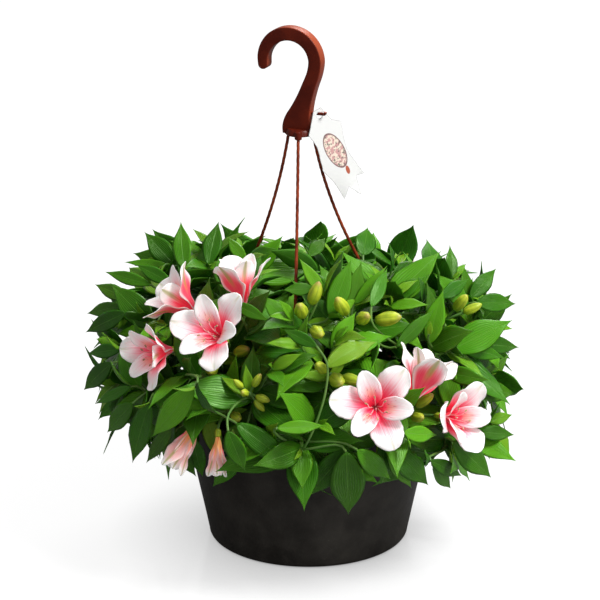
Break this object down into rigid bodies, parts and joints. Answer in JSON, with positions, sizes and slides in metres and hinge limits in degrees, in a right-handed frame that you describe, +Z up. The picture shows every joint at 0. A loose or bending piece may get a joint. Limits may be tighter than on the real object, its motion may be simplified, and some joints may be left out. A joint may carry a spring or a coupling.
{
  "type": "potted peruvian lily",
  "caption": "Mound of leafy flowering stems with pink and white lily-like blooms in a round plastic pot, which stands on a surface or hangs by its moulded hook on strands.",
  "frame": {"origin": "centre of the pot's flat underside, on the surface that it stands on", "axes": "+Z up along the pot's axis, -Y towards the side with most blooms"},
  "size_m": [0.4139, 0.4075, 0.4998],
  "materials": {
    "pot_plastic": "charcoal black moulded plastic, dusty near its base",
    "potting_soil": "damp dark peat and bark crumb",
    "hanger_plastic": "satin dark terracotta brown moulded plastic",
    "strand_plastic": "satin terracotta brown plastic, lightly twisted",
    "label_card": "white coated card with a plain printed oval",
    "leaf": "waxy green leaf with fine parallel veins",
    "bud": "soft yellow-green ribbed buds and stalks",
    "petal": "velvety white petals flushed coral pink, dark dashes on the inner ones"
  },
  "bodies": {
    "root": {"bloom_back_left_high": "petal", "bloom_back_left_low": "petal", "bloom_back_right_high": "petal", "bloom_left_front": "petal", "bloom_left_high": "petal", "bloom_left_low": "petal", "bloom_left_upright": "petal", "bloom_low_drooping": "petal", "bloom_low_small": "petal", "bloom_right_front": "petal", "bloom_right_high": "petal", "bloom_right_low": "petal", "hook": "hanger_plastic", "label": "label_card", "pot": "pot_plastic", "shoot_01": "leaf", "shoot_02": "leaf", "shoot_03": "leaf", "shoot_04": "leaf", "shoot_05": "leaf", "shoot_06": "leaf", "shoot_07": "leaf", "shoot_08": "leaf", "shoot_09": "leaf", "shoot_10": "leaf", "shoot_11": "leaf", "shoot_12": "leaf", "shoot_13": "leaf", "shoot_14": "leaf", "shoot_15": "leaf", "shoot_16": "leaf", "shoot_17": "leaf", "shoot_18": "leaf", "shoot_19": "leaf", "shoot_20": "leaf", "shoot_21": "leaf", "shoot_22": "leaf", "shoot_23": "leaf", "shoot_24": "leaf", "shoot_25": "leaf", "shoot_26": "leaf", "shoot_27": "leaf", "shoot_28": "leaf", "shoot_29": "leaf", "shoot_30": "leaf", "shoot_31": "leaf", "soil": "potting_soil", "strand_front": "strand_plastic", "strand_left": "strand_plastic", "strand_right": "strand_plastic", "umbel_back_left": "bud", "umbel_back_right": "bud", "umbel_centre": "bud", "umbel_cluster": "bud", "umbel_east": "bud", "umbel_front": "bud", "umbel_left": "bud", "umbel_low": "bud", "umbel_middle": "bud", "umbel_right": "bud"}
  },
  "joints": []
}
